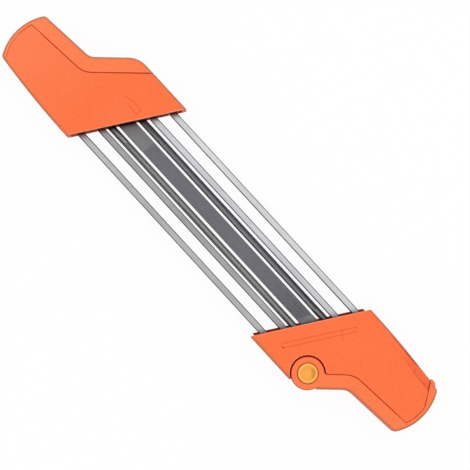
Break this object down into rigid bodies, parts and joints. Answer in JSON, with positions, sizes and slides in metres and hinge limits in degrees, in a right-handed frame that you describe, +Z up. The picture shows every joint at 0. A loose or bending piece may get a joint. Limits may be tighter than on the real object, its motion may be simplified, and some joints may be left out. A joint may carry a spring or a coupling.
{
  "type": "chainsaw file guide",
  "caption": "Skewed two-handed file guide with round files and a flat file held between plastic grips, guide rods and a swinging locking lever that frees the files.",
  "frame": {"origin": "middle of the tool's underside", "axes": "+X along the files to the rear housing with the locking lever, +Z up to the operator's side"},
  "size_m": [0.3626, 0.069, 0.026],
  "materials": {
    "orange_housing": "fine satin texture",
    "orange_lever": "fine satin texture",
    "yellow_plastic": "smooth satin",
    "dark_carrier": "matte, dark red-brown",
    "bright_rod": "bright drawn bar",
    "file_steel": "hardened, finely cut",
    "zinc_steel": "zinc plated",
    "black_rubber": "matte"
  },
  "bodies": {
    "holder": {"rear_top_shell": "orange_housing", "rear_bottom_shell": "orange_housing", "rear_carrier": "dark_carrier", "rear_rod_pins": "zinc_steel", "rear_shell_screws": "zinc_steel", "pivot_pin": "yellow_plastic", "pivot_washer": "zinc_steel", "pivot_screw": "zinc_steel", "front_top_shell": "orange_housing", "front_bottom_shell": "orange_housing", "front_carrier": "dark_carrier", "front_rod_pins": "zinc_steel", "front_shell_screws": "zinc_steel", "front_cover": "orange_lever", "guide_rod_outer_left": "bright_rod", "guide_rod_inner_left": "bright_rod", "guide_rod_inner_right": "bright_rod", "guide_rod_outer_right": "bright_rod", "round_file_left": "file_steel", "round_file_right": "file_steel", "flat_file": "file_steel"},
    "lever": {"locking_lever": "orange_lever", "tang_pad": "black_rubber"}
  },
  "joints": [
    {"name": "lever_hinge", "type": "hinge", "parent": "holder", "child": "lever", "pos_m": [0.11083, -0.02335, 0.013], "axis": [0, 0, -1], "range_deg": [0, 95]}
  ]
}
